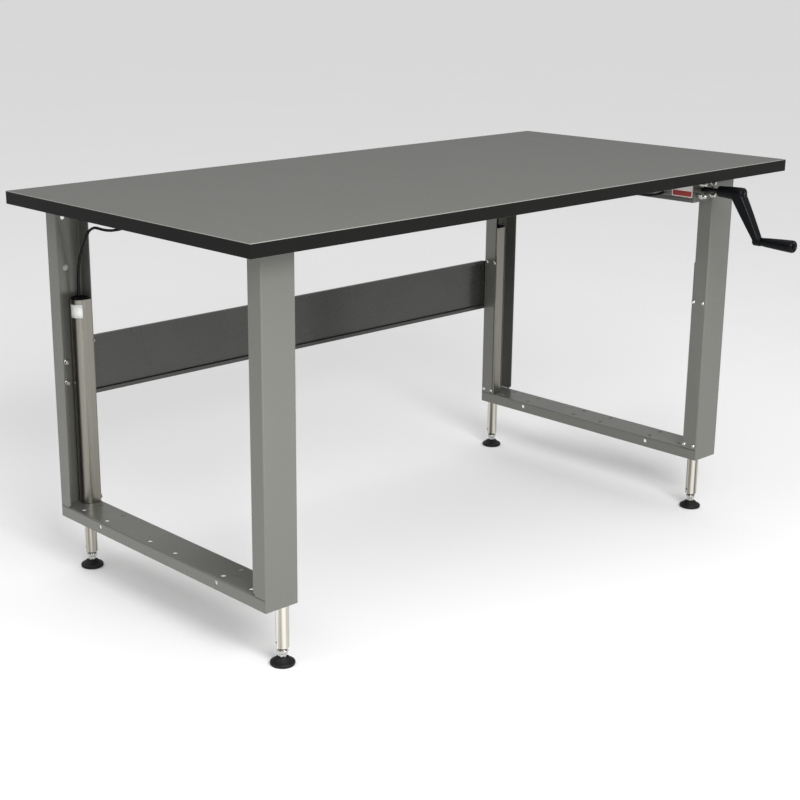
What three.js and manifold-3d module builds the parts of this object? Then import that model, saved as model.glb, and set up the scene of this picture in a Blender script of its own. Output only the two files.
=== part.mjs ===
// A height adjustable standing desk with a hydraulic lift worked by a hand crank. The worktop stands
// on two folded-steel side frames joined by a stretcher behind the back legs. A cylinder is bolted
// inside each leg. Turning the crank drives four plungers in the pump under the worktop, oil goes
// through four hoses to the cylinders, and their rods push the frame up off its four feet.
//
// Millimetres, +Z up, the user stands at -Y. Lengths along X are left to right.

import * as THREE from "three";
import { mergeVertices } from "three/addons/utils/BufferGeometryUtils.js";
import Module from "manifold-3d";

const wasm = await Module();
wasm.setup();

// ---- driving dimensions -------------------------------------------------------------------

// Clearances
const gap = 0.3; // between pieces that lie against each other
const glueLine = 0.05; // between the layers of the worktop
const runningGap = 0.3; // round a rod, spindle or plunger that slides or turns
const threadGap = 0.3; // round a screw thread

// Worktop
const worktopLength = 1524;
const worktopDepth = 762;
const coreThickness = 23.3;
const laminateThickness = 1.1;
const backerThickness = 0.9;
const edgeBandThickness = 2;

// Side frames
const overhangLeft = 73.5; // how far the worktop stands out past the legs
const overhangRight = 94.5;
const overhangFront = 67;
const overhangBack = 20;
const frameHeight = 660; // bottom of the base channels to the tops of the legs
const sheet = 1.9; // all the folded steel
const bendRadius = 1.2; // inside the folds
const legWidth = 76.2;
const legDepth = 35.5;
const baseHeight = 24;
const baseHoleClearance = 1.5; // round each rod
const railHeight = 22;
const reliefNotch = 5; // weld relief at the foot of each leg's flanges

// Holes in the base channels and the back legs
const accessoryHoleRadius = 5.2;
const accessoryRowOffset = 20.3; // either side of the channel's centre line
const accessoryEndInset = 61.5; // outside of a leg's web to the first pair
const accessorySpacing = 83.5;
const sideHoleRadius = 4.5;
const sideHoleDrop = 10; // below the top of the channel
const legHoleDrop = 36; // below the top of a back leg
const legHoleRadius = 5;

// Stretcher
const stretcherHeight = 124;
const stretcherLift = 247; // bottom of the frame to the bottom of the stretcher
const stretcherDepth = 8;
const stretcherLip = 8;
const stretcherTabReach = 64; // how far its ends lap the back legs
const stretcherBoltInset = 47; // from the inner side of a leg to the bolts
const stretcherBoltRadius = 3.2;
const stretcherBoltSteps = [-27, 17]; // from the stretcher's middle, up and down

// Hydraulic cylinders
const barrelWall = 3.5; // where it is thinnest
const barrelCorner = 1.5; // taken off its square corners, to clear the fold of the leg
const barrelLength = 435;
const guideWall = 2.4; // the bush round the rod, at the barrel's lower end
const guideHeight = 30;
const capPlugDepth = 20;
const capFlangeHeight = 3;
const capFlangeInset = 1.7; // in from the barrel's round side
const hoseRadius = 3;
const hoseDepth = 5; // in the cap

// Rods and feet
const rodRadius = 12.5;
const rodLength = 460;
const rodBoreRadius = 6;
const rodSolidLength = 30; // between the foot stud's thread and the oil bore
const feedTubeLength = 356; // below the cap, down inside the rod
const feedTubeBore = 2;
const rodShowing = 93; // below the base channel, as it stands
const rodTipRadius = 8.5;
const rodTipLength = 5;
const pistonLength = 25;
const studRadius = 6;
const studThreadLength = 40; // above the lock nut's seat
const studCollarHeight = 6.6;
const studCollarWidth = 15; // across flats
const lockNutHeight = 6;
const lockNutWidth = 19;
const padRadius = 23.5;
const padHeight = 16;
const padSocketDepth = 8.5;

// Pump
const pumpInset = 41.3; // inner faces of the right legs to the pump's centre line
const pumpAxisDrop = 27; // worktop underside to the spindle
const pumpWidth = 60;
const pumpHeight = 50;
const pumpBlockLength = 195;
const chamberRadius = 9;
const chamberDepth = 155;
const chamberSpreadX = 17;
const chamberSpreadZ = 13;
const plungerLength = 152;
const crossheadLength = 18;
const crossheadRest = 118; // block's rear face to the crosshead, as it stands
const spindleRadius = 5.5;
const trayLength = 362;
const trayLip = 8;
const trayTab = 16;
const plugWidth = 11; // across flats
const plugHexLength = 14;
const plugNoseLength = 8;
const plugNoseRadius = 4.3;
const plugThreadRadius = 3.6;
const plugThreadDepth = 6; // in the block
const portSpacing = 34;
const portDepth = 3;
const portClearance = 1;
const portInset = 80; // from the block's front face to the first pair of hose ports

// Crank
const hubLength = 64;
const crankStandout = 40; // front edge of the worktop to the hub's outer end
const hubInnerRadius = 12;
const hubOuterRadius = 14.2;
const driveHexWidth = 9; // across flats
const driveHexLength = 60;
const crankRadius = 95; // spindle to grip
const armTopThickness = 34;
const armEndThickness = 18;
const armEndWidth = 20;
const armLean = 58; // how far the arm's end stands out from the hub's
const crankScrewRadius = 2.2;
const crankScrewGrip = 8; // in the end of the spindle
const screwHeadRadius = 6;
const headHeight = 2.4;
const gripLength = 79;
const gripInnerRadius = 8.8;
const gripOuterRadius = 13.2;
const gripPinRadius = 4;

// ---- where things come --------------------------------------------------------------------

const rodTipZ = padHeight + gap + studCollarHeight + gap + lockNutHeight + gap;
const frameBottom = rodTipZ + rodShowing;
const frameTop = frameBottom + frameHeight;
const baseTop = frameBottom + baseHeight;
const worktopUnderside = frameTop + gap;
const worktopThickness = coreThickness + laminateThickness + backerThickness + 2 * glueLine;

const boreRadius = rodRadius + runningGap + guideWall + gap;
const barrelRadius = boreRadius + barrelWall;
const capFlangeRadius = barrelRadius - capFlangeInset;
const barrelBottom = baseTop + gap;
const barrelTop = barrelBottom + barrelLength;
const hoseStartZ = barrelTop + capFlangeHeight - hoseDepth;

const frameWidth = worktopLength - overhangLeft - overhangRight; // over the outsides of the legs
const frameDepth = worktopDepth - overhangFront - overhangBack; // over the webs of the legs
const frameOffsetX = (overhangLeft - overhangRight) / 2;
const frameOffsetY = (overhangFront - overhangBack) / 2;
const trayFrontY = frameOffsetY - frameDepth / 2;
const hubOuterY = -worktopDepth / 2 - crankStandout;
const hubInnerY = hubOuterY + hubLength;

const pumpX = frameOffsetX + frameWidth / 2 - legWidth - pumpInset;
const pumpZ = worktopUnderside - pumpAxisDrop;
const blockFrontY = trayFrontY + sheet + gap;
const blockRearY = blockFrontY + pumpBlockLength;
const trayFloorTop = pumpZ - pumpHeight / 2 - gap;
const trayRearY = trayFrontY + trayLength;
const pumpSideX = pumpX + pumpWidth / 2;
const portZ = pumpZ - chamberSpreadZ;

const sides = [
  { side: "left", sign: -1 },
  { side: "right", sign: 1 },
];
const ends = [
  { end: "front", sign: -1 },
  { end: "back", sign: 1 },
];

// The centre line of a side frame, the outer face of a leg's web, and the axis of a cylinder, which
// sits in the corner between the web and the leg's inner flange.
const frameX = (sign) => frameOffsetX + sign * (frameWidth - legWidth) / 2;
const webY = (sign) => frameOffsetY + sign * frameDepth / 2;
const innerFaceX = (sign) => frameX(sign) - sign * legWidth / 2;
const cylinderX = (sign) => innerFaceX(sign) + sign * (sheet + gap + barrelRadius);
const cylinderY = (sign) => webY(sign) - sign * (sheet + gap + barrelRadius);

// ---- materials ----------------------------------------------------------------------------

const material = (color, roughness, metalness) =>
  new THREE.MeshStandardMaterial({ color, roughness, metalness });

const greyPowderCoat = () => material(0x6f6f6a, 0.45, 0.4);
const darkPowderCoat = () => material(0x4a4a46, 0.45, 0.4);
const aluminium = () => material(0xb9b7ae, 0.35, 0.9);
const chromePlate = () => material(0xd9d8d2, 0.12, 1);
const zincPlate = () => material(0xc9c8c0, 0.3, 1);
const blackPlastic = () => material(0x0c0d0f, 0.5, 0);
const blackRubber = () => material(0x151617, 0.8, 0);
const bronze = () => material(0xa9834f, 0.4, 0.9);

// ---- shaping helpers ----------------------------------------------------------------------

const desk = new THREE.Group();

function solid(geometry) {
  const bare = geometry.clone();
  bare.deleteAttribute("normal");
  bare.deleteAttribute("uv");
  const merged = mergeVertices(bare, 1e-4);
  const mesh = new wasm.Mesh({
    numProp: 3,
    vertProperties: merged.attributes.position.array,
    triVerts: new Uint32Array(merged.index.array),
  });
  return new wasm.Manifold(mesh);
}

function geometryOf(manifold) {
  const { vertProperties, triVerts } = manifold.getMesh();
  const geometry = new THREE.BufferGeometry();
  geometry.setAttribute("position", new THREE.BufferAttribute(vertProperties, 3));
  geometry.setIndex(new THREE.BufferAttribute(triVerts, 1));
  return geometry;
}

function cut(geometry, ...tools) {
  return geometryOf(tools.reduce((left, tool) => left.subtract(solid(tool)), solid(geometry)));
}

function join(first, ...others) {
  return geometryOf(others.reduce((whole, other) => whole.add(solid(other)), solid(first)));
}

function add(name, geometry, surface) {
  const mesh = new THREE.Mesh(geometry, surface);
  mesh.name = name;
  desk.add(mesh);
}

// A box from its lowest corner to its highest.
function block([x0, y0, z0], [x1, y1, z1]) {
  const geometry = new THREE.BoxGeometry(x1 - x0, y1 - y0, z1 - z0);
  return geometry.translate((x0 + x1) / 2, (y0 + y1) / 2, (z0 + z1) / 2);
}

// A cylinder along an axis, centred on a point.
function rod(axis, radius, length, [x, y, z], segments = 16) {
  const geometry = new THREE.CylinderGeometry(radius, radius, length, segments);
  if (axis === "x") geometry.rotateZ(Math.PI / 2);
  if (axis === "z") geometry.rotateX(Math.PI / 2);
  return geometry.translate(x, y, z);
}

// A turned piece. The profile is pairs of radius and height, up its outside and down its inside.
function turned(profile, segments = 24) {
  const points = profile.map(([radius, height]) => new THREE.Vector2(radius, height));
  return new THREE.LatheGeometry(points, segments);
}

const turnedUp = (profile, segments) => turned(profile, segments).rotateX(Math.PI / 2);

function polygon(sideCount, radius) {
  const corners = Array.from({ length: sideCount }, (_, i) => {
    const angle = i * 2 * Math.PI / sideCount;
    return new THREE.Vector2(radius * Math.cos(angle), radius * Math.sin(angle));
  });
  return new THREE.Shape(corners);
}

// A hexagonal prism along Y or Z between two stations, with an optional round hole.
function hexPrism(axis, acrossFlats, from, to, [a, b], holeRadius = 0) {
  const outline = polygon(6, acrossFlats / Math.sqrt(3));
  if (holeRadius) outline.holes.push(new THREE.Path().absarc(0, 0, holeRadius, 0, 2 * Math.PI));
  const geometry = new THREE.ExtrudeGeometry(outline, {
    depth: to - from,
    bevelEnabled: false,
    curveSegments: 10,
  });
  if (axis === "z") return geometry.translate(a, b, from);
  return geometry.rotateX(Math.PI / 2).translate(a, to, b);
}

// A folded channel's section: the web's outer face lies on y = 0 and its flanges point down.
function channelSection(width, depth) {
  const half = width / 2;
  const outer = bendRadius + sheet;
  const section = new THREE.Shape();
  section.moveTo(-half, -depth);
  section.lineTo(-half, -outer);
  section.absarc(outer - half, -outer, outer, Math.PI, Math.PI / 2, true);
  section.lineTo(half - outer, 0);
  section.absarc(half - outer, -outer, outer, Math.PI / 2, 0, true);
  section.lineTo(half, -depth);
  section.lineTo(half - sheet, -depth);
  section.lineTo(half - sheet, -outer);
  section.absarc(half - outer, -outer, bendRadius, 0, Math.PI / 2, false);
  section.lineTo(outer - half, -sheet);
  section.absarc(outer - half, -outer, bendRadius, Math.PI / 2, Math.PI, false);
  section.lineTo(sheet - half, -depth);
  section.closePath();
  return section;
}

function extruded(section, length) {
  return new THREE.ExtrudeGeometry(section, {
    depth: length,
    bevelEnabled: false,
    curveSegments: 3,
  });
}

// ---- worktop ------------------------------------------------------------------------------

const boardHalfX = worktopLength / 2 - edgeBandThickness - glueLine;
const boardHalfY = worktopDepth / 2 - edgeBandThickness - glueLine;

function board(name, bottom, thickness, surface) {
  const low = [-boardHalfX, -boardHalfY, bottom];
  const high = [boardHalfX, boardHalfY, bottom + thickness];
  add(name, block(low, high), surface);
}

const coreBottom = worktopUnderside + backerThickness + glueLine;
const laminateBottom = coreBottom + coreThickness + glueLine;
board("worktop_backer", worktopUnderside, backerThickness, material(0x2b2b29, 0.7, 0));
board("worktop_core", coreBottom, coreThickness, material(0x9a7b52, 0.9, 0));
board("worktop_laminate", laminateBottom, laminateThickness, material(0x3c3d3a, 0.4, 0));

function rectangle(halfX, halfY, Outline) {
  const outline = new Outline();
  outline.moveTo(-halfX, -halfY);
  outline.lineTo(halfX, -halfY);
  outline.lineTo(halfX, halfY);
  outline.lineTo(-halfX, halfY);
  outline.closePath();
  return outline;
}

const bandOutline = rectangle(worktopLength / 2, worktopDepth / 2, THREE.Shape);
bandOutline.holes.push(
  rectangle(
    worktopLength / 2 - edgeBandThickness,
    worktopDepth / 2 - edgeBandThickness,
    THREE.Path,
  ),
);
const band = extruded(bandOutline, worktopThickness).translate(0, 0, worktopUnderside);
add("worktop_edge_band", band, material(0x1b1b19, 0.4, 0));

// ---- side frames: legs, base channels and top rails -----------------------------------------

const mirrored = (distance) => [-distance, distance];
const channelLength = frameDepth - 2 * (sheet + gap);
const railWidth = legWidth - 2 * (sheet + gap);
const railLength = channelLength - 2 * bendRadius; // its corners clear the folds of the legs

for (const { side, sign: sideSign } of sides) {
  const x = frameX(sideSign);

  for (const { end, sign: endSign } of ends) {
    const leg = extruded(channelSection(legWidth, legDepth), frameHeight);
    if (endSign < 0) leg.rotateZ(Math.PI);
    leg.translate(x, webY(endSign), frameBottom);
    // The flanges stop on top of the base channel, and the web goes on down over its end.
    const flangeRoot = webY(endSign) - endSign * (sheet + gap / 2);
    const flangeTip = webY(endSign) - endSign * (legDepth + 1);
    const flangeY = [Math.min(flangeRoot, flangeTip), Math.max(flangeRoot, flangeTip)];
    const notchTip = webY(endSign) - endSign * (legDepth - reliefNotch);
    const notchY = [Math.min(notchTip, flangeTip), Math.max(notchTip, flangeTip)];
    const tools = [
      block([x - legWidth, flangeY[0], frameBottom - 1], [x + legWidth, flangeY[1], baseTop + gap]),
      block([x - legWidth, notchY[0], baseTop], [x + legWidth, notchY[1], baseTop + reliefNotch]),
    ];
    if (end === "back") {
      const holeZ = frameTop - legHoleDrop;
      tools.push(rod("y", legHoleRadius, 4 * sheet, [x, webY(endSign) - sheet / 2, holeZ]));
      const boltX = innerFaceX(sideSign) + sideSign * stretcherBoltInset;
      for (const step of stretcherBoltSteps) {
        const boltZ = frameBottom + stretcherLift + stretcherHeight / 2 + step;
        tools.push(
          rod("y", stretcherBoltRadius, 4 * sheet, [boltX, webY(endSign) - sheet / 2, boltZ], 12),
        );
      }
    }
    add(`leg_${end}_${side}`, cut(leg, ...tools), greyPowderCoat());
  }

  const base = extruded(channelSection(legWidth, baseHeight), channelLength);
  base.rotateX(Math.PI / 2).translate(x, frameOffsetY + channelLength / 2, baseTop);
  const endHole = frameDepth / 2 - accessoryEndInset;
  const holes = [];
  for (const step of [endHole, endHole - accessorySpacing, accessorySpacing / 2].flatMap(mirrored)) {
    for (const row of [-accessoryRowOffset, accessoryRowOffset]) {
      const centre = [x + row, frameOffsetY + step, baseTop];
      holes.push(rod("z", accessoryHoleRadius, 4 * sheet, centre, 20));
    }
  }
  for (const step of mirrored(endHole - accessorySpacing)) {
    const centre = [x, frameOffsetY + step, baseTop - sideHoleDrop];
    holes.push(rod("x", sideHoleRadius, legWidth + 2, centre, 12));
  }
  for (const { sign: endSign } of ends) {
    const centre = [cylinderX(sideSign), cylinderY(endSign), baseTop];
    holes.push(rod("z", rodRadius + baseHoleClearance, 4 * sheet, centre, 24));
  }
  add(`base_channel_${side}`, cut(base, ...holes), greyPowderCoat());

  const rail = extruded(channelSection(railWidth, railHeight), railLength);
  rail.rotateX(Math.PI / 2).translate(x, frameOffsetY + railLength / 2, frameTop);
  add(`top_rail_${side}`, rail, greyPowderCoat());
}

// ---- stretcher ----------------------------------------------------------------------------

// A shallow panel with lips turned in along its top and bottom. Its ends step forward to lie flat
// on the backs of the legs, where two bolts hold each one.
const stretcherBottom = frameBottom + stretcherLift;
const stretcherTop = stretcherBottom + stretcherHeight;
const stretcherFrontY = webY(1) + gap;
const stretcherBackY = stretcherFrontY + stretcherDepth;
const panelX = [innerFaceX(-1) + sheet, innerFaceX(1) - sheet];

function stretcherPiece(x0, x1, y0, y1, z0 = stretcherBottom, z1 = stretcherTop) {
  return block([x0, y0, z0], [x1, y1, z1]);
}

const stretcherPieces = [
  [...panelX, stretcherFrontY, stretcherBackY, stretcherTop - sheet, stretcherTop],
  [...panelX, stretcherFrontY, stretcherBackY, stretcherBottom, stretcherBottom + sheet],
  [...panelX, stretcherFrontY, stretcherFrontY + sheet, stretcherTop - stretcherLip, stretcherTop],
  [
    ...panelX,
    stretcherFrontY,
    stretcherFrontY + sheet,
    stretcherBottom,
    stretcherBottom + stretcherLip,
  ],
];
const stretcherTools = [];
for (const { sign } of sides) {
  const inner = innerFaceX(sign) - sign * sheet;
  const tabEnd = innerFaceX(sign) + sign * stretcherTabReach;
  const stepEnd = inner - sign * sheet;
  stretcherPieces.push(
    [Math.min(stepEnd, tabEnd), Math.max(stepEnd, tabEnd), stretcherFrontY, stretcherFrontY + sheet],
    [Math.min(stepEnd, inner), Math.max(stepEnd, inner), stretcherFrontY, stretcherBackY],
  );
  for (const step of stretcherBoltSteps) {
    const centre = [
      innerFaceX(sign) + sign * stretcherBoltInset,
      stretcherFrontY,
      stretcherBottom + stretcherHeight / 2 + step,
    ];
    stretcherTools.push(rod("y", stretcherBoltRadius, 4 * sheet, centre, 12));
  }
}
const stretcherWeb = stretcherPiece(...panelX, stretcherBackY - sheet, stretcherBackY);
const stretcherBody = join(stretcherWeb, ...stretcherPieces.map((p) => stretcherPiece(...p)));
add("stretcher", cut(stretcherBody, ...stretcherTools), darkPowderCoat());

// ---- cylinders, rods and feet ---------------------------------------------------------------

// The barrel's section is round on the side towards the middle of the leg and square on the side
// that is bolted to the leg's inner flange.
function barrelSection(sideSign) {
  const section = new THREE.Shape();
  section.moveTo(0, -barrelRadius);
  section.absarc(0, 0, barrelRadius, -Math.PI / 2, Math.PI / 2, false);
  section.lineTo(barrelCorner - barrelRadius, barrelRadius);
  section.lineTo(-barrelRadius, barrelRadius - barrelCorner);
  section.lineTo(-barrelRadius, barrelCorner - barrelRadius);
  section.lineTo(barrelCorner - barrelRadius, -barrelRadius);
  section.closePath();
  section.holes.push(new THREE.Path().absarc(0, 0, boreRadius, 0, 2 * Math.PI));
  const geometry = new THREE.ExtrudeGeometry(section, {
    depth: barrelLength,
    bevelEnabled: false,
    curveSegments: 10,
  });
  return sideSign < 0 ? geometry.rotateZ(Math.PI) : geometry;
}

const guideProfile = [
  [boreRadius - gap, 0],
  [boreRadius - gap, guideHeight],
  [rodRadius + runningGap, guideHeight],
  [rodRadius + runningGap, 0],
  [boreRadius - gap, 0],
];
const feedTubeBottom = barrelTop - capPlugDepth - feedTubeLength;
const feedTubeRadius = rodBoreRadius - runningGap;
const capProfile = [
  [feedTubeBore, feedTubeBottom],
  [feedTubeRadius, feedTubeBottom],
  [feedTubeRadius, barrelTop - capPlugDepth],
  [boreRadius - gap, barrelTop - capPlugDepth],
  [boreRadius - gap, barrelTop + gap],
  [capFlangeRadius, barrelTop + gap],
  [capFlangeRadius, barrelTop + capFlangeHeight],
  [hoseRadius + gap, barrelTop + capFlangeHeight],
  [hoseRadius + gap, hoseStartZ - gap],
  [feedTubeBore, hoseStartZ - gap],
  [feedTubeBore, feedTubeBottom],
];
const rodTop = rodTipZ + rodLength;
const studHoleTop = rodTipZ + studThreadLength;
const rodProfile = [
  [0, studHoleTop],
  [studRadius + threadGap, studHoleTop],
  [studRadius + threadGap, rodTipZ],
  [rodTipRadius, rodTipZ],
  [rodRadius, rodTipZ + rodTipLength],
  [rodRadius, rodTop - pistonLength],
  [boreRadius - runningGap, rodTop - pistonLength],
  [boreRadius - runningGap, rodTop],
  [rodBoreRadius, rodTop],
  [rodBoreRadius, studHoleTop + rodSolidLength],
  [0, studHoleTop + rodSolidLength],
];
const studTop = studHoleTop - 4;
const studProfile = [
  [0, padHeight - padSocketDepth + gap],
  [studRadius - 1.5, padHeight - padSocketDepth + gap],
  [studRadius, padHeight - padSocketDepth + 2],
  [studRadius, studTop - 1.5],
  [studRadius - 1.5, studTop],
  [0, studTop],
];
const padProfile = [
  [0, 0],
  [padRadius - 1.2, 0],
  [padRadius, 2],
  [padRadius, 6],
  [padRadius - 2.5, 9],
  [padRadius - 8, 12.5],
  [padRadius - 13, padHeight],
  [studRadius + gap, padHeight],
  [studRadius + gap, padHeight - padSocketDepth],
  [0, padHeight - padSocketDepth],
];

for (const { side, sign: sideSign } of sides) {
  for (const { end, sign: endSign } of ends) {
    const corner = `${end}_${side}`;
    const [x, y] = [cylinderX(sideSign), cylinderY(endSign)];

    add(`barrel_${corner}`, barrelSection(sideSign).translate(x, y, barrelBottom), aluminium());
    const guide = turnedUp(guideProfile).translate(x, y, barrelBottom);
    add(`rod_guide_${corner}`, guide, bronze());
    add(`cylinder_cap_${corner}`, turnedUp(capProfile).translate(x, y, 0), blackPlastic());

    add(`lift_rod_${corner}`, turnedUp(rodProfile).translate(x, y, 0), chromePlate());

    const nutBottom = rodTipZ - gap - lockNutHeight;
    const nutHole = studRadius + threadGap;
    const nut = hexPrism("z", lockNutWidth, nutBottom, nutBottom + lockNutHeight, [x, y], nutHole);
    add(`lock_nut_${corner}`, nut, zincPlate());

    const collarBottom = padHeight + gap;
    const collarTop = collarBottom + studCollarHeight;
    const collar = hexPrism("z", studCollarWidth, collarBottom, collarTop, [x, y]);
    const stud = join(turnedUp(studProfile, 16).translate(x, y, 0), collar);
    add(`foot_stud_${corner}`, stud, zincPlate());
    add(`foot_pad_${corner}`, turnedUp(padProfile).translate(x, y, 0), blackRubber());
  }
}

// ---- pump ---------------------------------------------------------------------------------

const chambers = [];
for (const dx of [-chamberSpreadX, chamberSpreadX]) {
  for (const dz of [-chamberSpreadZ, chamberSpreadZ]) chambers.push([pumpX + dx, pumpZ + dz]);
}

const blockTools = [
  rod("y", spindleRadius + runningGap, 2 * pumpBlockLength, [pumpX, blockFrontY, pumpZ], 20),
];
for (const [x, z] of chambers) {
  const chamberMiddle = blockRearY - chamberDepth / 2 + 1;
  blockTools.push(rod("y", chamberRadius, chamberDepth + 2, [x, chamberMiddle, z], 16));
  blockTools.push(rod("y", 2, 2 * (pumpBlockLength - chamberDepth) + 20, [x, blockFrontY, z], 8));
  blockTools.push(rod("y", plugThreadRadius + threadGap, 2 * plugThreadDepth, [x, blockFrontY, z]));
}
const ports = [blockFrontY + portInset, blockFrontY + portInset + portSpacing];
for (const y of ports) {
  for (const { sign } of sides) {
    const mouth = [pumpX + sign * pumpWidth / 2, y, portZ];
    blockTools.push(rod("x", hoseRadius + portClearance, 2 * portDepth, mouth));
  }
}
const pumpBlock = block(
  [pumpX - pumpWidth / 2, blockFrontY, pumpZ - pumpHeight / 2],
  [pumpSideX, blockRearY, pumpZ + pumpHeight / 2],
);
add("pump_block", cut(pumpBlock, ...blockTools), aluminium());

// The tray hangs from the worktop by its two upright ends, which also carry the spindle.
const trayHalf = pumpWidth / 2 + gap + sheet;
const trayBottom = trayFloorTop - sheet;
const trayX = [pumpX - trayHalf, pumpX + trayHalf];
const uprights = [
  [trayFrontY, trayFrontY + sheet],
  [trayRearY - sheet, trayRearY],
];
const tabs = [
  [trayFrontY - trayTab, trayFrontY + sheet],
  [trayRearY - sheet, trayRearY + trayTab],
];
const traySolids = [];
for (const x of [trayX[0], trayX[1] - sheet]) {
  const low = [x, trayFrontY, trayBottom];
  traySolids.push(block(low, [x + sheet, trayRearY, trayBottom + trayLip]));
}
const trayTop = worktopUnderside - gap;
for (const [y0, y1] of uprights) {
  traySolids.push(block([trayX[0], y0, trayBottom], [trayX[1], y1, trayTop]));
}
for (const [y0, y1] of tabs) {
  traySolids.push(block([trayX[0], y0, trayTop - sheet], [trayX[1], y1, trayTop]));
}
const trayFloor = block(
  [trayX[0], trayFrontY, trayBottom],
  [trayX[1], trayRearY, trayFloorTop],
);
const trayTools = [
  rod("y", spindleRadius + runningGap, 4 * trayLength, [pumpX, trayFrontY, pumpZ], 20),
];
for (const [x, z] of chambers) {
  const centre = [x, trayFrontY, z];
  trayTools.push(rod("y", plugThreadRadius + gap, 4 * sheet, centre));
}
add("pump_tray", cut(join(trayFloor, ...traySolids), ...trayTools), greyPowderCoat());

// The crosshead is a nut on the spindle. It pushes one plunger into each chamber.
const crossheadY = blockRearY + crossheadRest;
const crossheadSolids = chambers.map(([x, z]) =>
  rod(
    "y",
    chamberRadius - runningGap,
    plungerLength + crossheadLength / 2,
    [x, crossheadY + crossheadLength / 4 - plungerLength / 2, z],
    16,
  ),
);
const crossheadPlate = block(
  [pumpX - pumpWidth / 2 + gap, crossheadY, pumpZ - pumpHeight / 2 + gap],
  [pumpSideX - gap, crossheadY + crossheadLength, pumpZ + pumpHeight / 2 - gap],
);
const crossheadBore = rod(
  "y",
  spindleRadius + threadGap,
  4 * crossheadLength,
  [pumpX, crossheadY, pumpZ],
  20,
);
add(
  "pump_crosshead",
  cut(join(crossheadPlate, ...crossheadSolids), crossheadBore),
  zincPlate(),
);

const hexTip = hubInnerY - driveHexLength + 8;
const spindleRound = turned([
  [0, hubInnerY + 10],
  [spindleRadius, hubInnerY + 10],
  [spindleRadius, trayRearY + 3],
  [0, trayRearY + 3],
], 20).translate(pumpX, 0, pumpZ);
const spindleHex = hexPrism("y", driveHexWidth, hexTip, hubInnerY + 14, [pumpX, pumpZ]);
const screwHole = rod("y", crankScrewRadius + threadGap, 2 * crankScrewGrip + 4, [pumpX, hexTip, pumpZ], 12);
add("pump_spindle", cut(join(spindleRound, spindleHex), screwHole), zincPlate());

chambers.forEach(([x, z], i) => {
  const seat = trayFrontY - gap;
  const nose = seat - plugHexLength - plugNoseLength;
  const tip = blockFrontY + plugThreadDepth - gap;
  const shank = turned([
    [0, nose],
    [plugNoseRadius, nose],
    [plugNoseRadius, seat - 1],
    [plugThreadRadius, seat - 1],
    [plugThreadRadius, tip],
    [0, tip],
  ], 16).translate(x, 0, z);
  const hex = hexPrism("y", plugWidth, seat - plugHexLength, seat, [x, z]);
  add(`bleed_plug_${i + 1}`, join(shank, hex), zincPlate());
});

// ---- crank --------------------------------------------------------------------------------

// A tapered bar with a rectangle at each end: [centre y, z, half width along x, half thickness along y].
function taperedBar(top, end) {
  const corners = [top, end].flatMap(([y, z, halfX, halfY]) => [
    [-halfX, y - halfY, z],
    [halfX, y - halfY, z],
    [halfX, y + halfY, z],
    [-halfX, y + halfY, z],
  ]);
  const geometry = new THREE.BufferGeometry();
  geometry.setAttribute("position", new THREE.Float32BufferAttribute(corners.flat(), 3));
  const quads = [
    [0, 1, 2, 3],
    [7, 6, 5, 4],
    [1, 0, 4, 5],
    [2, 1, 5, 6],
    [3, 2, 6, 7],
    [0, 3, 7, 4],
  ];
  geometry.setIndex(quads.flatMap(([a, b, c, d]) => [a, b, c, a, c, d]));
  return geometry;
}

const gripZ = pumpZ - crankRadius;
const armTopY = hubOuterY + armTopThickness / 2;
const armEndY = armTopY - armLean;
const armEndFace = armEndY - armEndThickness / 2;

const hubCone = turned([
  [0, hubOuterY],
  [hubOuterRadius, hubOuterY],
  [hubOuterRadius, hubOuterY + armTopThickness],
  [hubInnerRadius, hubInnerY],
  [0, hubInnerY],
]).translate(pumpX, 0, pumpZ);
const armBar = taperedBar(
  [armTopY, pumpZ, hubOuterRadius - 0.4, armTopThickness / 2 - 0.2],
  [armEndY, gripZ, armEndWidth / 2 - 0.2, armEndThickness / 2 - 0.2],
).translate(pumpX, 0, 0);
const armEye = rod("y", armEndWidth / 2, armEndThickness, [pumpX, armEndY, gripZ], 24);
const crankTools = [
  hexPrism("y", driveHexWidth + 2 * runningGap, hexTip - gap, hubInnerY + 5, [pumpX, pumpZ]),
  rod("y", crankScrewRadius + gap, 2 * armTopThickness, [pumpX, hubOuterY, pumpZ], 12),
  rod("y", screwHeadRadius + gap, armTopThickness, [pumpX, hubOuterY - armTopThickness / 2, pumpZ]),
  rod("y", gripPinRadius + gap, 2 * armEndThickness, [pumpX, armEndFace, gripZ], 16),
];
add("crank_arm", cut(join(hubCone, armBar, armEye), ...crankTools), blackPlastic());

const screwSeat = hubOuterY - gap;
const crankScrew = turned([
  [0, screwSeat - headHeight],
  [screwHeadRadius, screwSeat - headHeight],
  [screwHeadRadius, screwSeat],
  [crankScrewRadius, screwSeat],
  [crankScrewRadius, hexTip + crankScrewGrip],
  [0, hexTip + crankScrewGrip],
], 12).translate(pumpX, 0, pumpZ);
add("crank_screw", crankScrew, zincPlate());

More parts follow.
